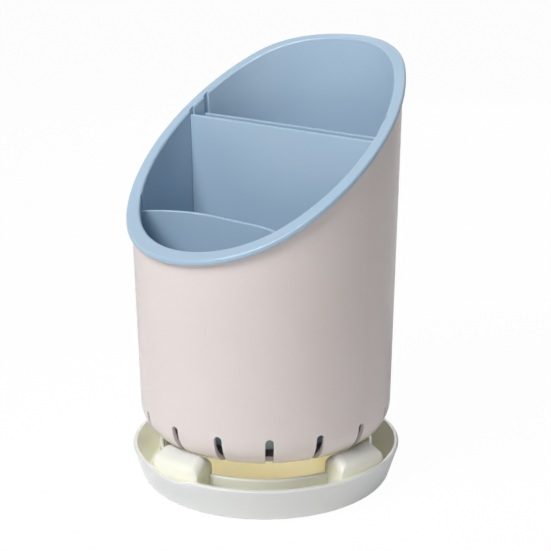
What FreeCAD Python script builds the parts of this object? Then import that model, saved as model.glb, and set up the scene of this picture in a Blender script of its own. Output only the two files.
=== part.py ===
import FreeCAD, Part
import Sketcher
import math
import os
import re

Vector = FreeCAD.Vector

# Lengths in millimetres, angles in degrees, shares without a unit. Low side of the mouth at -Y.
sizes = {
    "overrun": 10.0,
    "tray_overhang": 5.1,
    "tray_flare": 5.5,
    "tray_height": 17.1,
    "tray_wall": 2.2,
    "tray_floor": 3.0,
    "tray_base_round": 4.0,
    "tray_rim_round": 0.9,
    "foot_width": 4.0,
    "foot_recess": 1.0,
    "lip_radius": 30.0,
    "lip_depth": 2.6,
    "ring_inset": 7.9,
    "ring_wall": 2.2,
    "ring_top": 16.8,
    "ring_round": 0.9,
    "pad_count": 4,
    "pad_angle": 27.0,
    "pad_crest_inset": 4.4,
    "pad_shoulder": 23.0,
    "pad_arch": 11.5,
    "pad_seat_gap": 0.3,
    "pad_round": 4.0,
    "cup_base": 23.3,
    "cup_base_radius": 59.9,
    "cup_wall": 1.9,
    "cup_floor": 2.5,
    "cup_corner": 15.5,
    "cup_mouth_round": 0.5,
    "draft_share": 0.0195,
    "slot_count": 16,
    "slot_width": 3.8,
    "slot_top": 39.8,
    "slot_reach": 13.9,
    "mouth_bend_reach": -35.5,
    "mouth_bend_height": 137.5,
    "mouth_crest_reach": 43.4,
    "mouth_slope": 36.9,
    "mouth_low_radius": 165.0,
    "mouth_high_radius": 66.0,
    "flange_overhang": 1.1,
    "flange_thickness": 2.6,
    "flange_round": 0.9,
    "rim_round": 1.1,
    "mouth_gap": 0.8,
    "liner_gap": 0.4,
    "liner_wall": 1.9,
    "liner_floor": 2.2,
    "liner_chamfer": 10.0,
    "foot_height": 4.0,
    "foot_radius": 4.0,
    "foot_inset": 21.6,
    "foot_seat_gap": 0.3,
    "foot_count": 4,
    "drain_count": 12,
    "drain_width": 3.6,
    "drain_inner_share": 0.31,
    "drain_outer_share": 0.52,
    "channel_depth": 0.6,
    "channel_play": 0.3,
    "bow_channel_angle": 3.6,
    "plate_thickness": 2.0,
    "plate_top": 168.3,
    "front_plate_reach": 9.5,
    "rear_plate_reach": 17.7,
    "divider_thickness": 1.8,
    "divider_top": 129.5,
    "divider_reach_share": 0.36,
    "divider_flat_share": 0.234,
    "divider_bow_share": 0.668,
    "panel_round": 0.6,
}

document = FreeCAD.newDocument("ChopstickHolder")
sheet = document.addObject("Spreadsheet::Sheet", "Sizes")
for row, (alias, value) in enumerate(sizes.items(), start=1):
    sheet.set(f"A{row}", alias)
    sheet.set(f"B{row}", str(value))
    sheet.setAlias(f"B{row}", alias)
document.recompute()


def bound(text):
    # Turns plain size names into references to the sheet.
    return re.sub(r"[a-z_]+", lambda word: f"Sizes.{word[0]}" if word[0] in sizes else word[0], text)


def new_body(name):
    body = document.addObject("PartDesign::Body", name)
    body.Label = name
    return body


def origin_item(body, role):
    return next(item for item in body.Origin.OriginFeatures if item.Role == role)


def new_sketch(body, name, role, lift=None):
    sketch = body.newObject("Sketcher::SketchObject", name)
    sketch.AttachmentSupport = [(origin_item(body, role), "")]
    sketch.MapMode = "FlatFace"
    if lift is not None:
        sketch.setExpression(".AttachmentOffset.Base.z", bound(lift))
    return sketch


def hold(sketch, kind, target, expression):
    # One dimension of a sketch, measured from its origin where it is a distance along an axis.
    geometry, point = target
    if kind in ("DistanceX", "DistanceY"):
        spot = sketch.getPoint(geometry, point)
        now = spot.x if kind == "DistanceX" else spot.y
        index = sketch.addConstraint(Sketcher.Constraint(kind, -1, 1, geometry, point, now))
    else:
        index = sketch.addConstraint(Sketcher.Constraint(kind, geometry, sketch.Geometry[geometry].Radius))
    sketch.setExpression(f"Constraints[{index}]", bound(expression))


def add_polygon(sketch, corners):
    # A closed outline whose corners are each tied to the sheet.
    count = len(corners)
    first = len(sketch.Geometry)
    spots = [Vector(math.cos(math.tau * i / count), math.sin(math.tau * i / count), 0) for i in range(count)]
    for i in range(count):
        sketch.addGeometry(Part.LineSegment(spots[i], spots[(i + 1) % count]), False)
    for i in range(count):
        following = first + (i + 1) % count
        sketch.addConstraint(Sketcher.Constraint("Coincident", first + i, 2, following, 1))
    for i, (across, along) in enumerate(corners):
        hold(sketch, "DistanceX", (first + i, 1), across)
        hold(sketch, "DistanceY", (first + i, 1), along)


def revolve(body, name, sketch, angle=None, cut=False):
    kind = "PartDesign::Groove" if cut else "PartDesign::Revolution"
    feature = body.newObject(kind, name)
    feature.Profile = sketch
    feature.ReferenceAxis = (sketch, ["V_Axis"])
    if angle is None:
        feature.Angle = 360.0
    else:
        feature.Midplane = True
        feature.setExpression("Angle", bound(angle))
    return feature


def extrude(body, name, sketch, length, cut=False, backward=False, centred=False):
    kind = "PartDesign::Pocket" if cut else "PartDesign::Pad"
    feature = body.newObject(kind, name)
    feature.Profile = sketch
    feature.Type = "Length"
    feature.Midplane = centred
    feature.Reversed = backward
    feature.setExpression("Length", bound(length))
    return feature


def pattern_round(body, name, feature, count):
    pattern = body.newObject("PartDesign::PolarPattern", name)
    pattern.Originals = [feature]
    pattern.Axis = (origin_item(body, "Z_Axis"), [""])
    pattern.Angle = 360.0
    pattern.setExpression("Occurrences", bound(count))
    body.Tip = pattern
    return pattern


def round_edges(body, name, base, chosen, radius):
    document.recompute()
    edges = [f"Edge{i}" for i, edge in enumerate(base.Shape.Edges, start=1) if chosen(edge)]
    feature = body.newObject("PartDesign::Fillet", name)
    feature.Base = (base, edges)
    feature.setExpression("Radius", bound(radius))
    document.recompute()
    return feature


def ring_edge(radius, height):
    # Picks a full circle about the Z axis by its radius and height.
    def chosen(edge):
        curve = edge.Curve
        if not isinstance(curve, Part.Circle) or not edge.isClosed():
            return False
        same_height = math.isclose(curve.Center.z, height, abs_tol=1e-3)
        return same_height and math.isclose(curve.Radius, radius, abs_tol=1e-3)

    return chosen


# Radii that follow the cup's own radius.
tray_rim_radius = "(cup_base_radius + tray_overhang)"
tray_base_radius = "(cup_base_radius + tray_overhang - tray_flare)"
ring_radius = "(cup_base_radius - ring_inset)"
pad_crest_radius = "(cup_base_radius - pad_crest_inset)"
cup_radius = sizes["cup_base_radius"]
rim_radius = cup_radius + sizes["tray_overhang"]
base_radius = rim_radius - sizes["tray_flare"]


# Radii of the drafted walls at a height.
def cup_outer(height):
    return f"(cup_base_radius + draft_share * ({height} - cup_base))"


def liner_outer(height):
    return f"({cup_outer(height)} - cup_wall - liner_gap)"


def liner_inner(height):
    return f"({liner_outer(height)} - liner_wall)"


liner_foot = "(cup_base + cup_floor + foot_seat_gap)"
liner_base = "(cup_base + cup_floor + foot_seat_gap + foot_height)"
liner_floor_top = f"({liner_base} + liner_floor)"
crest_height = "(mouth_bend_height + (mouth_crest_reach - mouth_bend_reach) * tan(mouth_slope))"
body_top = f"({crest_height} + mouth_high_radius)"
flange_radius = f"({cup_outer(crest_height)} + flange_overhang)"
mouth_rise = math.tan(math.radians(sizes["mouth_slope"]))
mouth_run = sizes["mouth_crest_reach"] - sizes["mouth_bend_reach"]
crest_rise = sizes["mouth_bend_height"] + mouth_run * mouth_rise
brim_radius = cup_radius + sizes["draft_share"] * (crest_rise - sizes["cup_base"]) + sizes["flange_overhang"]


def mouth_outline(body, name, drop, cap):
    # The swept mouth line, moved down square to itself by drop, closed by a level line at cap.
    slope = math.radians(sizes["mouth_slope"])
    low, high = sizes["mouth_low_radius"], sizes["mouth_high_radius"]
    bend = Vector(sizes["mouth_bend_reach"], sizes["mouth_bend_height"], 0)
    crest = bend + Vector(mouth_run, mouth_run * mouth_rise, 0)
    low_middle = bend + Vector(-low * math.sin(slope), low * math.cos(slope), 0)
    high_middle = crest + Vector(high * math.sin(slope), -high * math.cos(slope), 0)
    reach = brim_radius + sizes["overrun"]

    def on_low(across):
        return low_middle.y - math.sqrt(low**2 - (across - low_middle.x) ** 2)

    def on_high(across):
        return high_middle.y + math.sqrt(high**2 - (across - high_middle.x) ** 2)

    start = Vector(-reach, on_low(-reach), 0)
    end = Vector(reach, on_high(reach), 0)
    far = Vector(reach, 0, 0)
    near = Vector(-reach, 0, 0)
    plane = Vector(0, 0, 1)
    sketch = new_sketch(body, name, "YZ_Plane")
    low_angles = [math.atan2(point.y - low_middle.y, point.x - low_middle.x) for point in (start, bend)]
    high_angles = [math.atan2(point.y - high_middle.y, point.x - high_middle.x) for point in (end, crest)]
    sketch.addGeometry(Part.ArcOfCircle(Part.Circle(low_middle, plane, low), *low_angles), False)
    sketch.addGeometry(Part.LineSegment(bend, crest), False)
    sketch.addGeometry(Part.ArcOfCircle(Part.Circle(high_middle, plane, high), *high_angles), False)
    sketch.addGeometry(Part.LineSegment(end, far), False)
    sketch.addGeometry(Part.LineSegment(far, near), False)
    sketch.addGeometry(Part.LineSegment(near, start), False)
    joined = ((0, 2, 1, 1), (1, 2, 2, 2), (2, 1, 3, 1), (3, 2, 4, 1), (4, 2, 5, 1), (5, 2, 0, 1))
    for one, one_end, two, two_end in joined:
        sketch.addConstraint(Sketcher.Constraint("Coincident", one, one_end, two, two_end))
    sketch.addConstraint(Sketcher.Constraint("Vertical", 3))
    sketch.addConstraint(Sketcher.Constraint("Vertical", 5))
    sketch.addConstraint(Sketcher.Constraint("Horizontal", 4))
    hold(sketch, "DistanceX", (0, 3), "mouth_bend_reach - mouth_low_radius * sin(mouth_slope)")
    hold(sketch, "DistanceY", (0, 3), "mouth_bend_height + mouth_low_radius * cos(mouth_slope)")
    hold(sketch, "Radius", (0, 0), f"mouth_low_radius + {drop}")
    hold(sketch, "DistanceX", (2, 3), "mouth_crest_reach + mouth_high_radius * sin(mouth_slope)")
    hold(sketch, "DistanceY", (2, 3), f"{crest_height} - mouth_high_radius * cos(mouth_slope)")
    hold(sketch, "Radius", (2, 0), f"mouth_high_radius - {drop}")
    hold(sketch, "DistanceX", (0, 2), f"mouth_bend_reach + ({drop}) * sin(mouth_slope)")
    hold(sketch, "DistanceX", (2, 2), f"mouth_crest_reach + ({drop}) * sin(mouth_slope)")
    hold(sketch, "DistanceX", (0, 1), f"0 - {flange_radius} - overrun")
    hold(sketch, "DistanceX", (2, 1), f"{flange_radius} + overrun")
    hold(sketch, "DistanceY", (4, 1), cap)
    return sketch


mouth_width = f"2 * ({flange_radius} + overrun)"

# Drip tray: dish with a foot, pouring lip, inner ring and four bridging pads that cradle the cup's corner.
tray = new_body("drip_tray")
dish_sketch = new_sketch(tray, "DishOutline", "XZ_Plane")
add_polygon(
    dish_sketch,
    [
        ("0", "foot_recess"),
        (f"{tray_base_radius} - tray_base_round - foot_width", "foot_recess"),
        (f"{tray_base_radius} - tray_base_round - foot_width", "0"),
        (tray_base_radius, "0"),
        (tray_rim_radius, "tray_height"),
        (f"{tray_rim_radius} - tray_wall", "tray_height"),
        (f"{tray_base_radius} - tray_wall", "tray_floor"),
        ("0", "tray_floor"),
    ],
)
dish = revolve(tray, "Dish", dish_sketch)
dish_base = round_edges(tray, "DishBaseRound", dish, ring_edge(base_radius, 0), "tray_base_round")
dish_rim = round_edges(
    tray,
    "DishRimRound",
    dish_base,
    ring_edge(rim_radius, sizes["tray_height"]),
    "tray_rim_round",
)
lip_sketch = new_sketch(tray, "LipOutline", "XZ_Plane")
lip_circle = Part.Circle(Vector(0, sizes["tray_height"], 0), Vector(0, 0, 1), sizes["lip_radius"])
lip_sketch.addGeometry(lip_circle, False)
hold(lip_sketch, "DistanceX", (0, 3), "0")
hold(lip_sketch, "DistanceY", (0, 3), "tray_height + lip_radius - lip_depth")
hold(lip_sketch, "Radius", (0, 0), "lip_radius")
lip = extrude(tray, "Lip", lip_sketch, f"{tray_rim_radius} + overrun", cut=True, backward=True)
ring_sketch = new_sketch(tray, "RingOutline", "XZ_Plane")
add_polygon(
    ring_sketch,
    [
        (f"{ring_radius} - ring_wall", "tray_floor"),
        (ring_radius, "tray_floor"),
        (ring_radius, "ring_top"),
        (f"{ring_radius} - ring_wall", "ring_top"),
    ],
)
ring = revolve(tray, "Ring", ring_sketch)
ring_outside = cup_radius - sizes["ring_inset"]
ring_inside = ring_outside - sizes["ring_wall"]


def ring_crown(edge):
    # Picks both upper edges of the ring.
    edges = [ring_edge(radius, sizes["ring_top"]) for radius in (ring_inside, ring_outside)]
    return any(chosen(edge) for chosen in edges)


ring_rounded = round_edges(tray, "RingRound", ring, ring_crown, "ring_round")
corner_slant = "sqrt(1 + draft_share * draft_share)"
corner_middle_reach = f"(cup_base_radius + draft_share * cup_corner - cup_corner * {corner_slant})"
corner_middle_height = "(cup_base + cup_corner)"
pad_sketch = new_sketch(tray, "PadOutline", "XZ_Plane")
pad_middle = Vector(cup_radius - sizes["cup_corner"], sizes["cup_base"] + sizes["cup_corner"], 0)
pad_seat_radius = sizes["cup_corner"] + sizes["pad_seat_gap"]
pad_reaches = [ring_inside, cup_radius - sizes["pad_crest_inset"]]
pad_angles = [-math.acos((reach - pad_middle.x) / pad_seat_radius) for reach in pad_reaches]
pad_ends = [
    pad_middle + pad_seat_radius * Vector(math.cos(angle), math.sin(angle), 0) for angle in pad_angles
]
pad_outer_top = Vector(rim_radius - sizes["tray_wall"], sizes["pad_shoulder"], 0)
pad_outer_low = Vector(pad_outer_top.x, sizes["pad_arch"], 0)
pad_inner_low = Vector(pad_ends[0].x, sizes["pad_arch"], 0)
pad_sketch.addGeometry(
    Part.ArcOfCircle(Part.Circle(pad_middle, Vector(0, 0, 1), pad_seat_radius), *pad_angles), False
)
pad_sketch.addGeometry(Part.LineSegment(pad_ends[1], pad_outer_top), False)
pad_sketch.addGeometry(Part.LineSegment(pad_outer_top, pad_outer_low), False)
pad_sketch.addGeometry(Part.LineSegment(pad_outer_low, pad_inner_low), False)
pad_sketch.addGeometry(Part.LineSegment(pad_inner_low, pad_ends[0]), False)
for one, one_end, two, two_end in ((0, 2, 1, 1), (1, 2, 2, 1), (2, 2, 3, 1), (3, 2, 4, 1), (4, 2, 0, 1)):
    pad_sketch.addConstraint(Sketcher.Constraint("Coincident", one, one_end, two, two_end))
pad_sketch.addConstraint(Sketcher.Constraint("Horizontal", 3))
pad_sketch.addConstraint(Sketcher.Constraint("Vertical", 4))
hold(pad_sketch, "DistanceX", (0, 3), corner_middle_reach)
hold(pad_sketch, "DistanceY", (0, 3), corner_middle_height)
hold(pad_sketch, "Radius", (0, 0), "cup_corner + pad_seat_gap")
hold(pad_sketch, "DistanceX", (0, 1), f"{ring_radius} - ring_wall")
hold(pad_sketch, "DistanceX", (0, 2), pad_crest_radius)
hold(pad_sketch, "DistanceX", (1, 2), f"{tray_rim_radius} - tray_wall")
hold(pad_sketch, "DistanceY", (1, 2), "pad_shoulder")
hold(pad_sketch, "DistanceX", (2, 2), f"{tray_rim_radius} - tray_wall")
hold(pad_sketch, "DistanceY", (2, 2), "pad_arch")
pad = revolve(tray, "Pad", pad_sketch, angle="pad_angle")
pads = pattern_round(tray, "Pads", pad, "pad_count")


def pad_edge(edge):
    # Picks the pads' free upper edges, above the ring and the tray's rim.
    return all(spot.z > (sizes["tray_height"] + sizes["pad_shoulder"]) / 2 for spot in edge.discretize(5))


pad_rounds = round_edges(tray, "PadRounds", pads, pad_edge, "pad_round")

# Outer cup: drafted shell with a rounded bottom corner, drain slots through it and the swept mouth.
cup = new_body("outer_cup")
cup_sketch = new_sketch(cup, "CupOutline", "XZ_Plane")
cup_inside = "(cup_base + cup_floor)"
add_polygon(
    cup_sketch,
    [
        ("0", "cup_base"),
        ("cup_base_radius", "cup_base"),
        (cup_outer(body_top), body_top),
        (f"{cup_outer(body_top)} - cup_wall", body_top),
        (f"{cup_outer(cup_inside)} - cup_wall", cup_inside),
        ("0", cup_inside),
    ],
)
cup_shell = revolve(cup, "CupShell", cup_sketch)
cup_round = round_edges(
    cup, "CupCorner", cup_shell, ring_edge(sizes["cup_base_radius"], sizes["cup_base"]), "cup_corner"
)
inside_height = sizes["cup_base"] + sizes["cup_floor"]
inside_radius = cup_radius + sizes["draft_share"] * sizes["cup_floor"] - sizes["cup_wall"]
cup_inner_round = round_edges(
    cup,
    "CupInnerCorner",
    cup_round,
    ring_edge(inside_radius, inside_height),
    "cup_corner - cup_wall",
)
mouth_cap = f"{body_top} + overrun"
cup_mouth_sketch = mouth_outline(cup, "CupMouthLine", "(flange_thickness + mouth_gap)", mouth_cap)
cup_mouth = extrude(cup, "CupMouth", cup_mouth_sketch, mouth_width, cut=True, centred=True)


def mouth_edge(edge):
    # Picks the edges that the mouth leaves: above the slots, and turning with the wall.
    spots = edge.discretize(9)
    turn = math.hypot(spots[0].x - spots[-1].x, spots[0].y - spots[-1].y)
    return min(spot.z for spot in spots) > sizes["slot_top"] and turn > sizes["cup_wall"]


cup_mouth_rounded = round_edges(cup, "CupMouthRound", cup_mouth, mouth_edge, "cup_mouth_round")
slot_sketch = new_sketch(cup, "SlotOutline", "XZ_Plane", lift="cup_base_radius - slot_reach")
slot_half = sizes["slot_width"] / 2
slot_shoulder = sizes["slot_top"] - slot_half
slot_low = sizes["cup_base"] - sizes["overrun"]
slot_sketch.addGeometry(
    Part.ArcOfCircle(Part.Circle(Vector(0, slot_shoulder, 0), Vector(0, 0, 1), slot_half), 0, math.pi), False
)
slot_corners = [
    Vector(-slot_half, slot_shoulder, 0),
    Vector(-slot_half, slot_low, 0),
    Vector(slot_half, slot_low, 0),
    Vector(slot_half, slot_shoulder, 0),
]
for near, far in zip(slot_corners, slot_corners[1:]):
    slot_sketch.addGeometry(Part.LineSegment(near, far), False)
for one, one_end, two, two_end in ((0, 2, 1, 1), (1, 2, 2, 1), (2, 2, 3, 1), (3, 2, 0, 1)):
    slot_sketch.addConstraint(Sketcher.Constraint("Coincident", one, one_end, two, two_end))
slot_sketch.addConstraint(Sketcher.Constraint("Vertical", 1))
slot_sketch.addConstraint(Sketcher.Constraint("Horizontal", 2))
slot_sketch.addConstraint(Sketcher.Constraint("Vertical", 3))
hold(slot_sketch, "DistanceX", (0, 3), "0")
hold(slot_sketch, "DistanceY", (0, 3), "slot_top - slot_width / 2")
hold(slot_sketch, "Radius", (0, 0), "slot_width / 2")
hold(slot_sketch, "DistanceY", (0, 1), "slot_top - slot_width / 2")
hold(slot_sketch, "DistanceY", (0, 2), "slot_top - slot_width / 2")
hold(slot_sketch, "DistanceY", (2, 1), "cup_base - overrun")
slot = extrude(cup, "Slot", slot_sketch, "cup_base_radius", cut=True, backward=True)
slots = pattern_round(cup, "Slots", slot, "slot_count")

# Inner liner: flange that follows the mouth, drafted wall with three pairs of channels, floor on feet.
liner = new_body("inner_liner")
flange_sketch = new_sketch(liner, "FlangeRing", "XZ_Plane")
add_polygon(
    flange_sketch,
    [
        (f"{liner_inner(liner_base)} + liner_wall / 2", liner_base),
        (flange_radius, liner_base),
        (flange_radius, body_top),
        (f"{liner_inner(body_top)} + liner_wall / 2", body_top),
    ],
)
flange = revolve(liner, "Flange", flange_sketch)
under_sketch = mouth_outline(liner, "FlangeUnderLine", "flange_thickness", "0 - overrun")
under = extrude(liner, "FlangeUnder", under_sketch, mouth_width, cut=True, centred=True)
divider_flat_half = "(cup_base_radius * divider_flat_share)"
divider_bow_radius = "(cup_base_radius * divider_bow_share)"
bow_depth = "(cup_base_radius * (divider_reach_share + divider_bow_share))"


def bow_half(wall):
    # Where the divider's curved end meets a circle of radius wall about the axis.
    square = f"(pow({divider_flat_half}; 2) + pow({bow_depth}; 2))"
    along = f"((pow({wall}; 2) + {square} - pow({divider_bow_radius}; 2)) / 2)"
    across = f"sqrt(pow({wall}; 2) - pow({along}; 2) / {square})"
    return f"({divider_flat_half} * {along} / {square} + {bow_depth} / sqrt({square}) * {across})"


def bow_outline(body, name, lift):
    # A strip, straight in the middle and bent forward at both ends, running on past the channels' floor.
    sketch = new_sketch(body, name, "XY_Plane", lift=lift)
    flat, bow = cup_radius * sizes["divider_flat_share"], cup_radius * sizes["divider_bow_share"]
    reach = cup_radius * sizes["divider_reach_share"]
    plane = Vector(0, 0, 1)
    swing = math.pi / 5
    half = bow_half(f"({liner_inner('divider_top')} + liner_wall)")
    thin = sizes["divider_thickness"] / 2
    for side, sign in ((bow - thin, "-"), (bow + thin, "+")):
        first = len(sketch.Geometry)
        for way in (-1, 1):
            middle = Vector(way * flat, -reach - bow, 0)
            upright = math.pi / 2
            angles = sorted((upright, upright - way * swing))
            sketch.addGeometry(Part.ArcOfCircle(Part.Circle(middle, plane, side), *angles), False)
        level = side - reach - bow
        sketch.addGeometry(Part.LineSegment(Vector(-flat, level, 0), Vector(flat, level, 0)), False)
        sketch.addConstraint(Sketcher.Constraint("Coincident", first, 1, first + 2, 1))
        sketch.addConstraint(Sketcher.Constraint("Coincident", first + 1, 2, first + 2, 2))
        for arc, way, top, end in ((first, "0 - ", 1, 2), (first + 1, "", 2, 1)):
            hold(sketch, "DistanceX", (arc, 3), f"{way}{divider_flat_half}")
            hold(sketch, "DistanceY", (arc, 3), f"0 - {bow_depth}")
            hold(sketch, "Radius", (arc, 0), f"{divider_bow_radius} {sign} divider_thickness / 2")
            hold(sketch, "DistanceX", (arc, top), f"{way}{divider_flat_half}")
            hold(sketch, "DistanceX", (arc, end), f"{way}{half}")
    for near, far, end in ((0, 3, 2), (1, 4, 1)):
        ends = [sketch.getPoint(near, end), sketch.getPoint(far, end)]
        line = sketch.addGeometry(Part.LineSegment(*ends), False)
        sketch.addConstraint(Sketcher.Constraint("Coincident", near, end, line, 1))
        sketch.addConstraint(Sketcher.Constraint("Coincident", far, end, line, 2))
    return sketch


wall_sketch = new_sketch(liner, "WallOutline", "XZ_Plane")
chamfer_top = f"({liner_base} + liner_chamfer)"
skin_base = f"({liner_floor_top} + liner_chamfer)"
add_polygon(
    wall_sketch,
    [
        ("0", liner_base),
        (f"{liner_outer(liner_base)} - liner_chamfer", liner_base),
        (liner_outer(chamfer_top), chamfer_top),
        (liner_outer(body_top), body_top),
        (liner_inner(body_top), body_top),
        (liner_inner(skin_base), skin_base),
        (f"{liner_inner(liner_floor_top)} - liner_chamfer", liner_floor_top),
        ("0", liner_floor_top),
    ],
)
wall = revolve(liner, "Wall", wall_sketch)
mouth_sketch = mouth_outline(liner, "MouthLine", "0", mouth_cap)
mouth = extrude(liner, "Mouth", mouth_sketch, mouth_width, cut=True, centred=True)


def rim_edge(edge):
    # Picks the flange's outer edges, on its own cylinder and away from the vertical.
    spots = edge.discretize(9)
    inside = all(math.isclose(math.hypot(p.x, p.y), brim_radius, abs_tol=1e-2) for p in spots)
    return inside and edge.Length > sizes["mouth_high_radius"]


mouth_round = round_edges(liner, "FlangeRound", mouth, rim_edge, "flange_round")


def inner_edge(edge):
    # Picks the edge between the wall's inside and the mouth.
    spots = edge.discretize(9)
    drop = sizes["cup_wall"] + sizes["liner_gap"] + sizes["liner_wall"]
    walls = [cup_radius + sizes["draft_share"] * (spot.z - sizes["cup_base"]) - drop for spot in spots]
    inside = all(math.isclose(math.hypot(p.x, p.y), wall, abs_tol=1e-2) for p, wall in zip(spots, walls))
    return inside and min(spot.z for spot in spots) > sizes["slot_top"] + sizes["liner_chamfer"]


rim_rounded = round_edges(liner, "RimRound", mouth_round, inner_edge, "rim_round")
for reach, name in (("front_plate_reach", "FrontChannels"), ("rear_plate_reach", "RearChannels")):
    near_side = f"({reach} - plate_thickness / 2 - channel_play)"
    low, high = [
        f"sqrt(pow({liner_inner(height)} + channel_depth; 2) - pow({near_side}; 2))"
        for height in (skin_base, body_top)
    ]
    channel_sketch = new_sketch(liner, name + "Outline", "XZ_Plane", lift=f"0 - {reach}")
    add_polygon(
        channel_sketch,
        [(f"0 - {low}", skin_base), (low, skin_base), (high, body_top), (f"0 - {high}", body_top)],
    )
    extrude(liner, name, channel_sketch, "plate_thickness + 2 * channel_play", cut=True, centred=True)
bow_sketch = new_sketch(liner, "BowChannelOutline", "XZ_Plane")
bow_sketch.AttachmentOffset = FreeCAD.Placement(Vector(0, 0, 0), FreeCAD.Rotation(Vector(0, 1, 0), -45))
bow_wall = liner_inner(f"(divider_top + {skin_base}) / 2")
bow_turn = f"-1 * acos({bow_half(bow_wall)} / {bow_wall})"
bow_sketch.setExpression(".AttachmentOffset.Rotation.Angle", bound(bow_turn))
add_polygon(
    bow_sketch,
    [
        (f"{liner_inner(skin_base)} - liner_wall", skin_base),
        (f"{liner_inner(skin_base)} + channel_depth", skin_base),
        (f"{liner_inner(body_top)} + channel_depth", body_top),
        (f"{liner_inner(body_top)} - liner_wall", body_top),
    ],
)
bow_channel = revolve(liner, "BowChannel", bow_sketch, angle="bow_channel_angle", cut=True)
bow_channels = liner.newObject("PartDesign::Mirrored", "BowChannels")
bow_channels.Originals = [bow_channel]
bow_channels.MirrorPlane = (origin_item(liner, "YZ_Plane"), [""])
liner.Tip = bow_channels
foot_sketch = new_sketch(liner, "FootOutline", "XY_Plane", lift=liner_foot)
foot_middle = Vector(cup_radius - sizes["foot_inset"], 0, 0)
foot_sketch.addGeometry(Part.Circle(foot_middle, Vector(0, 0, 1), sizes["foot_radius"]), False)
hold(foot_sketch, "DistanceX", (0, 3), "cup_base_radius - foot_inset")
hold(foot_sketch, "DistanceY", (0, 3), "0")
hold(foot_sketch, "Radius", (0, 0), "foot_radius")
foot = extrude(liner, "Foot", foot_sketch, "foot_height + liner_floor / 2")
feet = pattern_round(liner, "Feet", foot, "foot_count")
drain_sketch = new_sketch(liner, "DrainOutline", "XY_Plane", lift=liner_foot)
drain_half = sizes["drain_width"] / 2
drain_spots = (cup_radius * sizes["drain_inner_share"], cup_radius * sizes["drain_outer_share"])
for spot, angles in zip(drain_spots, ((math.pi / 2, 3 * math.pi / 2), (-math.pi / 2, math.pi / 2))):
    circle = Part.Circle(Vector(spot, 0, 0), Vector(0, 0, 1), drain_half)
    drain_sketch.addGeometry(Part.ArcOfCircle(circle, *angles), False)
for side in (-drain_half, drain_half):
    ends = [Vector(spot, side, 0) for spot in drain_spots]
    drain_sketch.addGeometry(Part.LineSegment(*ends), False)
for one, one_end, two, two_end in ((0, 2, 2, 1), (2, 2, 1, 1), (1, 2, 3, 2), (3, 1, 0, 1)):
    drain_sketch.addConstraint(Sketcher.Constraint("Coincident", one, one_end, two, two_end))
for arc, share in ((0, "drain_inner_share"), (1, "drain_outer_share")):
    spot = f"cup_base_radius * {share}"
    hold(drain_sketch, "DistanceX", (arc, 3), spot)
    hold(drain_sketch, "DistanceY", (arc, 3), "0")
    hold(drain_sketch, "Radius", (arc, 0), "drain_width / 2")
    hold(drain_sketch, "DistanceX", (arc, 1), spot)
    hold(drain_sketch, "DistanceX", (arc, 2), spot)
drain = extrude(liner, "Drain", drain_sketch, "foot_height + liner_floor + overrun", cut=True, backward=True)
drains = pattern_round(liner, "Drains", drain, "drain_count")

# Dividers: two flat plates and one bowed plate, their ends trimmed to the drafted channels.
panel_base = f"({liner_floor_top} + channel_play)"


def trim_ends(body, name):
    # Cuts away all that lies outside the channels' floor, less their play.
    sketch = new_sketch(body, name + "Outline", "XZ_Plane")
    away = f"({flange_radius} + overrun)"
    shoulder = f"({skin_base} + 2 * channel_play)"
    add_polygon(
        sketch,
        [
            (f"{liner_inner(liner_floor_top)} - liner_chamfer - channel_play", liner_floor_top),
            (f"{liner_inner(skin_base)} - 2 * channel_play", skin_base),
            (f"{liner_inner(shoulder)} - 2 * channel_play", shoulder),
            (f"{liner_inner(shoulder)} + channel_depth - channel_play", shoulder),
            (f"{liner_inner(body_top)} + channel_depth - channel_play", body_top),
            (away, body_top),
            (away, liner_floor_top),
        ],
    )
    return revolve(body, name, sketch, cut=True)


def top_edge(height):
    # Picks the edges of a panel's level top.
    def chosen(edge):
        return all(math.isclose(spot.z, height, abs_tol=1e-3) for spot in edge.discretize(5))

    return chosen


plates = []
plate_reaches = {"knife_slot_front_plate": "front_plate_reach", "knife_slot_rear_plate": "rear_plate_reach"}
for name, reach in plate_reaches.items():
    plate = new_body(name)
    plate_sketch = new_sketch(plate, "PlateOutline", "XY_Plane", lift=panel_base)
    near_side = f"{reach} - plate_thickness / 2"
    far_side = f"{reach} + plate_thickness / 2"
    add_polygon(
        plate_sketch,
        [
            (f"0 - {flange_radius}", near_side),
            (flange_radius, near_side),
            (flange_radius, far_side),
            (f"0 - {flange_radius}", far_side),
        ],
    )
    extrude(plate, "PlatePad", plate_sketch, f"plate_top - {panel_base}")
    plate_ends = trim_ends(plate, "PlateEnds")
    round_edges(plate, "PlateTopRound", plate_ends, top_edge(sizes["plate_top"]), "panel_round")
    plates.append(plate)
divider = new_body("front_divider")
divider_sketch = bow_outline(divider, "DividerOutline", panel_base)
extrude(divider, "DividerPad", divider_sketch, f"divider_top - {panel_base}")
divider_ends = trim_ends(divider, "DividerEnds")
round_edges(divider, "DividerTopRound", divider_ends, top_edge(sizes["divider_top"]), "panel_round")

document.recompute()
for item in document.Objects:
    if any(word in item.State for word in ("Invalid", "Error")):
        raise RuntimeError(f"{item.Name} did not recompute")
os.makedirs("parts", exist_ok=True)
for body in (tray, cup, liner, divider, *plates):
    shape = body.Shape
    if shape.isNull() or not shape.isValid() or len(shape.Solids) != 1:
        raise RuntimeError(f"{body.Label} is not one valid solid")
    shape.exportStep(f"parts/{body.Label}.step")
    box = shape.optimalBoundingBox(True, False)
    corners = (box.XMin, box.XMax, box.YMin, box.YMax, box.ZMin, box.ZMax)
    print(body.Label, round(shape.Volume), [round(corner, 2) for corner in corners])
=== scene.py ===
import math

import bpy
import numpy as np
from mathutils import Matrix, Vector

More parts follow.
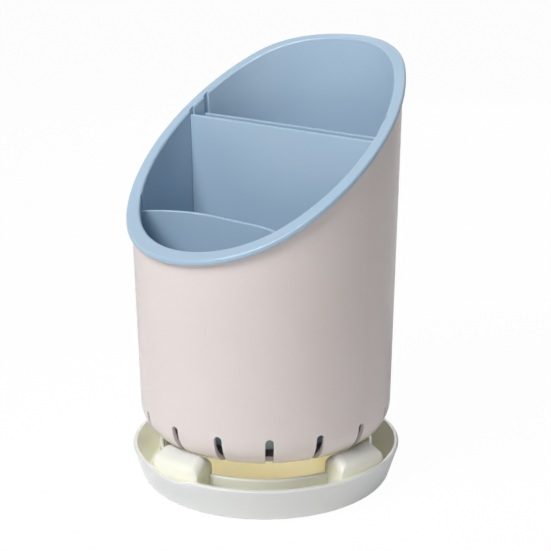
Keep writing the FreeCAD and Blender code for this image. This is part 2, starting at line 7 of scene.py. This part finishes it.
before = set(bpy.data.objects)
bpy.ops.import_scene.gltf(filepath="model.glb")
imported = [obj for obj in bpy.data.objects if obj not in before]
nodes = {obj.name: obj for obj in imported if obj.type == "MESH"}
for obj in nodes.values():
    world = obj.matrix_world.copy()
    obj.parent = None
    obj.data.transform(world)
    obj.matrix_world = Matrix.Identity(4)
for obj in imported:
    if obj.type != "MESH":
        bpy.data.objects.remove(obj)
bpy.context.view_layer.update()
print("frame loaded:", ", ".join(sorted(nodes)))


def linear(hexColour):  # sRGB hex text to linear RGBA
    srgb = np.array([int(hexColour[i:i + 2], 16) for i in (1, 3, 5)]) / 255
    flat = np.where(srgb <= 0.04045, srgb / 12.92, ((srgb + 0.055) / 1.055) ** 2.4)
    return (*flat.tolist(), 1.0)


def addNode(tree, kind, values=None, links=None, **settings):
    node = tree.nodes.new(kind)
    for key, value in settings.items():
        setattr(node, key, value)
    for socket, value in (values or {}).items():
        node.inputs[socket].default_value = value
    for socket, source in (links or {}).items():
        tree.links.new(source, node.inputs[socket])
    return node


def perMetre(millimetres):  # noise scale for a pattern of this size
    return 1000 / millimetres


def metres(millimetres):
    return millimetres / 1000


# colour sockets of the Mix node, which has several inputs of the same name
mixA, mixB, mixOut = 6, 7, 2
white = (1, 1, 1, 1)

# cream polypropylene from a polished mould: even colour, clear soft highlights
cupFinish = {
    "light": "#e6dbd8",
    "deep": "#e0d4d1",
    "cloudSize": 55,  # mm, slow drift of the pigment
    "skinSize": 3.5,  # mm, orange peel
    "skinDepth": 0.012,  # mm
    "roughLow": 0.2,
    "roughHigh": 0.28,
    "ior": 1.49,
    "glow": 0.5,  # share of the light that goes into the wall and comes out near by
    "glowReach": 4.0,  # mm
}
# blue polypropylene from a spark-eroded mould: satin, with a pale line along each rounded edge
linerFinish = {
    "light": "#aac3d8",
    "deep": "#a2bbd0",
    "cloudSize": 40,
    "skinSize": 0.8,  # mm, spark grain, drawn coarser than the real 0.1 mm so that it shows
    "skinDepth": 0.012,
    "roughLow": 0.27,
    "roughHigh": 0.34,
    "ior": 1.49,
    "glow": 0.1,
    "glowReach": 1.0,
}
# milky polypropylene without pigment: light goes far into it, so that it glows from inside
trayFinish = {
    "light": "#dadcdc",
    "deep": "#d5d7d7",
    # painted warm shade and bounce light, not the plastic's own colour: a green-yellow tint inside
    # the tray, and a deeper straw on its floor under the cup
    "inside": "#fbfae6",
    "floor": "#f9f0d2",
    "cloudSize": 45,
    "skinSize": 4,
    "skinDepth": 0.012,
    "roughLow": 0.25,
    "roughHigh": 0.35,
    "ior": 1.5,
    "glow": 0.8,
    "glowReach": 7.0,
    "baseRadius": 59.5,  # mm, the outside of the wall at the floor
    "flare": 5.5,  # mm, how much wider the rim is
    "height": 17.1,  # mm
    "wall": 2.2,  # mm
    # where the painted warm shade lies: from part way into the wall, full on the floor within the
    # ring, and thinning out on the lobe tops, where the light falls
    "wallShare": 0.3,  # how deep in the wall the inner colour begins
    "ringInside": 49.8,  # mm
    "floorShare": 0.88,  # where within the ring the straw is full
    "lobeTop": 26.0,  # mm
    "lobeShare": 0.25,  # what is left of the inner colour up there
}


# moulded plastic: slow colour drift, gloss that varies a little, the skin that the mould leaves,
# and light that enters the wall and comes out again near by
def mouldedPlastic(name, finish):
    material = bpy.data.materials.new(name)
    material.use_nodes = True
    tree = material.node_tree
    place = addNode(tree, "ShaderNodeTexCoord").outputs["Object"]
    cloud = addNode(tree, "ShaderNodeTexNoise",
                    {"Scale": perMetre(finish["cloudSize"]), "Detail": 2.0}, {"Vector": place})
    tint = addNode(tree, "ShaderNodeMix",
                   {mixA: linear(finish["deep"]), mixB: linear(finish["light"])},
                   {"Factor": cloud.outputs["Fac"]}, data_type="RGBA")
    gloss = addNode(tree, "ShaderNodeMapRange",
                    {"To Min": finish["roughLow"], "To Max": finish["roughHigh"]},
                    {"Value": cloud.outputs["Fac"]})
    skin = addNode(tree, "ShaderNodeTexNoise",
                   {"Scale": perMetre(finish["skinSize"]), "Detail": 1.0}, {"Vector": place})
    relief = addNode(tree, "ShaderNodeBump",
                     {"Strength": 1.0, "Distance": metres(finish["skinDepth"])},
                     {"Height": skin.outputs["Fac"]})
    shader = tree.nodes["Principled BSDF"]
    shader.inputs["IOR"].default_value = finish["ior"]
    shader.inputs["Subsurface Weight"].default_value = finish["glow"]
    shader.inputs["Subsurface Radius"].default_value = (1.0, 0.9, 0.8)
    shader.inputs["Subsurface Scale"].default_value = metres(finish["glowReach"])
    tree.links.new(tint.outputs[mixOut], shader.inputs["Base Color"])
    tree.links.new(gloss.outputs["Result"], shader.inputs["Roughness"])
    tree.links.new(relief.outputs["Normal"], shader.inputs["Normal"])
    return material, tint


# the tray's plastic: greyish white outside, with painted warm shade and bounce light: green-yellow
# inside the wall, deeper straw painted shade on the floor within the ring under the cup, and less of
# it on the tops of the lobes, where the light falls
def paintWarmShade(material, plain, finish):
    tree = material.node_tree
    place = addNode(tree, "ShaderNodeTexCoord").outputs["Object"]
    split = addNode(tree, "ShaderNodeSeparateXYZ", None, {"Vector": place}).outputs
    flat = addNode(tree, "ShaderNodeCombineXYZ", None, {"X": split["X"], "Y": split["Y"]})
    radius = addNode(tree, "ShaderNodeVectorMath", None,
                     {0: flat.outputs["Vector"]}, operation="LENGTH")
    outside = addNode(tree, "ShaderNodeMath",
                      {1: finish["flare"] / finish["height"], 2: metres(finish["baseRadius"])},
                      {0: split["Z"]}, operation="MULTIPLY_ADD")
    depth = addNode(tree, "ShaderNodeMath", None,
                    {0: outside.outputs[0], 1: radius.outputs["Value"]}, operation="SUBTRACT")
    within = addNode(tree, "ShaderNodeMapRange",
                     {"From Min": metres(finish["wallShare"] * finish["wall"]),
                      "From Max": metres(finish["wall"])},
                     {"Value": depth.outputs[0]}, interpolation_type="SMOOTHSTEP")
    # less painted shade up on the lobe tops, which stand up into the light
    above = addNode(tree, "ShaderNodeMapRange",
                    {"From Min": metres(finish["height"]), "From Max": metres(finish["lobeTop"]),
                     "To Min": 1.0, "To Max": finish["lobeShare"]}, {"Value": split["Z"]})
    shadeShare = addNode(tree, "ShaderNodeMath", None,
                    {0: within.outputs["Result"], 1: above.outputs["Result"]}, operation="MULTIPLY")
    # painted warm bounce light and shade on the inside of the wall
    paintedShadeWall = addNode(tree, "ShaderNodeMix", {mixB: linear(finish["inside"])},
                    {"Factor": shadeShare.outputs[0], mixA: plain.outputs[mixOut]}, data_type="RGBA")
    # the floor within the ring, under the cup, where the painted shade is deepest
    under = addNode(tree, "ShaderNodeMapRange",
                    {"From Min": metres(finish["ringInside"]),
                     "From Max": metres(finish["floorShare"] * finish["ringInside"])},
                    {"Value": radius.outputs["Value"]}, interpolation_type="SMOOTHSTEP")
    inner = addNode(tree, "ShaderNodeMath", None,
                    {0: under.outputs["Result"], 1: shadeShare.outputs[0]}, operation="MULTIPLY")
    # painted straw shade on the floor under the cup
    paintedShadeFloor = addNode(tree, "ShaderNodeMix", {mixB: linear(finish["floor"])},
                      {"Factor": inner.outputs[0], mixA: paintedShadeWall.outputs[mixOut]}, data_type="RGBA")
    tree.links.new(paintedShadeFloor.outputs[mixOut], tree.nodes["Principled BSDF"].inputs["Base Color"])


cupPlastic, _ = mouldedPlastic("polypropyleneGlossMoulded", cupFinish)
linerPlastic, _ = mouldedPlastic("polypropyleneSatinMoulded", linerFinish)
trayPlastic, trayTint = mouldedPlastic("polypropyleneNaturalMoulded", trayFinish)
# paints warm shade and bounce light into the tray's colour
paintWarmShade(trayPlastic, trayTint, trayFinish)
print("materials ready")

dressed = {
    "drip_tray": trayPlastic,
    "outer_cup": cupPlastic,
    "inner_liner": linerPlastic,
    "front_divider": linerPlastic,
    "knife_slot_front_plate": linerPlastic,
    "knife_slot_rear_plate": linerPlastic,
}
for name, plastic in dressed.items():
    nodes[name].data.materials.clear()
    nodes[name].data.materials.append(plastic)
print("pieces dressed:", len(dressed))

# lengths here are in metres
studio = {
    "floorSize": 6.0,
    "floorCells": 8,
    "floorDrop": 0.0003,  # keeps the table's face clear of the tray's
    "floorColour": "#f6f6f6",
    "floorRough": 0.9,
    "floorGlow": 0.97,  # how far the table is plain white to the camera, the rest keeps the shadow
    "underLight": 1.0,  # the table is lit from below, most of all under the tray
    "underRadius": 0.054,
    "underFade": 0.003,
    "nearLight": 0.14,  # and a little round it
    "nearRadius": 0.07,
    "darkRadius": 0.25,
    "ambient": 0.14,
    "aim": (0, 0, 0.1),
}
softboxes = {
    "keySoftbox": {"place": (-0.03, -1.02, 1.15), "size": 0.7, "power": 17.5},
    "topSoftbox": {"place": (-0.15, -0.1, 1.2), "size": 0.4, "power": 0.8},
    "lowSoftbox": {"place": (0.95, -0.95, 0.27), "size": 0.5, "power": 0.8},
    "backSoftbox": {"place": (-0.6, 1.0, 0.5), "size": 0.6, "power": 2.5},
    "edgeSoftbox": {"place": (0.9, 0.75, 0.45), "size": 0.5, "power": 0.5},
}

# the table, a flat square with u and v running from edge to edge
cells = studio["floorCells"]
edge = np.linspace(-0.5, 0.5, cells + 1) * studio["floorSize"]
u, v = np.meshgrid(edge, edge, indexing="ij")
floorPoints = np.stack([u, v, 0 * u], -1).reshape(-1, 3)
row = cells + 1
first = (np.arange(cells)[:, None] * row + np.arange(cells)[None, :]).ravel()
floorFaces = np.stack([first, first + row, first + row + 1, first + 1], 1)
floorMesh = bpy.data.meshes.new("paperFloor")
floorMesh.from_pydata(floorPoints.tolist(), [], floorFaces.tolist())
floor = bpy.data.objects.new("paperFloor", floorMesh)
bpy.context.scene.collection.objects.link(floor)
floor.location.z = -studio["floorDrop"]

# matt white paper on a lit table: plain white to the camera, and light that comes up through the tray
paper = bpy.data.materials.new("paperWhiteMatt")
paper.use_nodes = True
tree = paper.node_tree
matt = tree.nodes["Principled BSDF"]
matt.inputs["Base Color"].default_value = linear(studio["floorColour"])
matt.inputs["Roughness"].default_value = studio["floorRough"]
matt.inputs["Emission Color"].default_value = white
floorPlace = addNode(tree, "ShaderNodeTexCoord").outputs["Object"]
fromMiddle = addNode(tree, "ShaderNodeVectorMath", None, {0: floorPlace}, operation="LENGTH")
litNear = addNode(tree, "ShaderNodeMapRange",
                  {"From Min": studio["nearRadius"], "From Max": studio["darkRadius"],
                   "To Min": studio["nearLight"], "To Max": 0.0},
                  {"Value": fromMiddle.outputs["Value"]})
litBelow = addNode(tree, "ShaderNodeMapRange",
                   {"From Min": studio["underRadius"],
                    "From Max": studio["underRadius"] + studio["underFade"],
                    "To Min": studio["underLight"]},
                   {"Value": fromMiddle.outputs["Value"], "To Max": litNear.outputs["Result"]})
tree.links.new(litBelow.outputs["Result"], matt.inputs["Emission Strength"])
path = addNode(tree, "ShaderNodeLightPath").outputs
shown = addNode(tree, "ShaderNodeMath", {1: studio["floorGlow"]},
                {0: path["Is Camera Ray"]}, operation="MULTIPLY")
plainWhite = addNode(tree, "ShaderNodeEmission", {"Color": white, "Strength": 1.0})
sheet = addNode(tree, "ShaderNodeMixShader", None,
                {0: shown.outputs[0], 1: matt.outputs["BSDF"], 2: plainWhite.outputs["Emission"]})
tree.links.new(sheet.outputs["Shader"], tree.nodes["Material Output"].inputs["Surface"])
floorMesh.materials.append(paper)

# the room: soft ambient light, and plain white where the camera or a reflection sees it
room = bpy.data.worlds.new("whiteRoom")
room.use_nodes = True
tree = room.node_tree
path = addNode(tree, "ShaderNodeLightPath").outputs
seen = addNode(tree, "ShaderNodeMath", None,
               {0: path["Is Camera Ray"], 1: path["Is Glossy Ray"]}, operation="MAXIMUM")
seen = addNode(tree, "ShaderNodeMath", None,
               {0: seen.outputs[0], 1: path["Is Transmission Ray"]}, operation="MAXIMUM")
level = addNode(tree, "ShaderNodeMapRange", {"To Min": studio["ambient"], "To Max": 1.0},
                {"Value": seen.outputs[0]})
sky = tree.nodes["Background"]
sky.inputs["Color"].default_value = white
tree.links.new(level.outputs["Result"], sky.inputs["Strength"])
bpy.context.scene.world = room

for name, box in softboxes.items():
    lamp = bpy.data.lights.new(name, "AREA")
    lamp.energy, lamp.size = box["power"], box["size"]
    holder = bpy.data.objects.new(name, lamp)
    holder.location = box["place"]
    towards = Vector(studio["aim"]) - Vector(box["place"])
    holder.rotation_euler = towards.to_track_quat("-Z", "Y").to_euler()
    bpy.context.scene.collection.objects.link(holder)
print("studio lit")

# the camera that was fitted to the photo
shot = {
    "place": (0.4214, -0.4442, 0.2713),
    "forward": (-0.6567, 0.7036, -0.2716),
    "roll": -0.0037,  # radians
    "focalPixels": 1342.96,
    "imagePixels": 551,
    "sensorWidth": 36,  # mm
}
forward = Vector(shot["forward"]).normalized()
right = forward.cross(Vector((0, 0, 1))).normalized()
up = right.cross(forward)
rightRolled = math.cos(shot["roll"]) * right + math.sin(shot["roll"]) * up
upRolled = math.cos(shot["roll"]) * up - math.sin(shot["roll"]) * right
camera = bpy.data.objects.new("photoCamera", bpy.data.cameras.new("photoCamera"))
camera.data.sensor_width = shot["sensorWidth"]
camera.data.lens = shot["sensorWidth"] * shot["focalPixels"] / shot["imagePixels"]
turned = Matrix((rightRolled, upRolled, -forward)).transposed().to_4x4()
camera.matrix_world = Matrix.Translation(shot["place"]) @ turned
bpy.context.scene.collection.objects.link(camera)
bpy.context.scene.camera = camera
bpy.context.scene.view_settings.view_transform = "Standard"
print("camera set")
